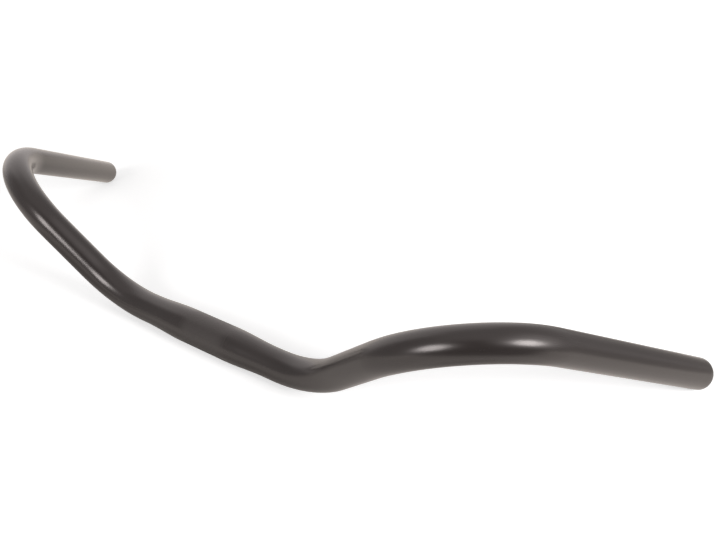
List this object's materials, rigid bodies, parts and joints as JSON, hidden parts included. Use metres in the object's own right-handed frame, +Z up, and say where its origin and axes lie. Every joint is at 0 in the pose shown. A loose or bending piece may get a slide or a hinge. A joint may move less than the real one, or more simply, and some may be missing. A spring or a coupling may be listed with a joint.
{
  "type": "city bike handlebar",
  "caption": "Swept-back bicycle handlebar in one bent tube: thicker clamp zone in the middle, arms that rise and lean forward, and long grips that turn back and down to the rider.",
  "frame": {"origin": "centre of the clamp zone, on the tube's centreline", "axes": "+X across the bicycle along the clamp zone's axis, +Y back towards the rider, +Z up; the two sides mirror each other across the plane X = 0"},
  "size_m": [0.621, 0.1862, 0.0989],
  "materials": {
    "bar_black": "satin black anodised"
  },
  "bodies": {
    "root": {"handlebar": "bar_black"}
  },
  "joints": []
}
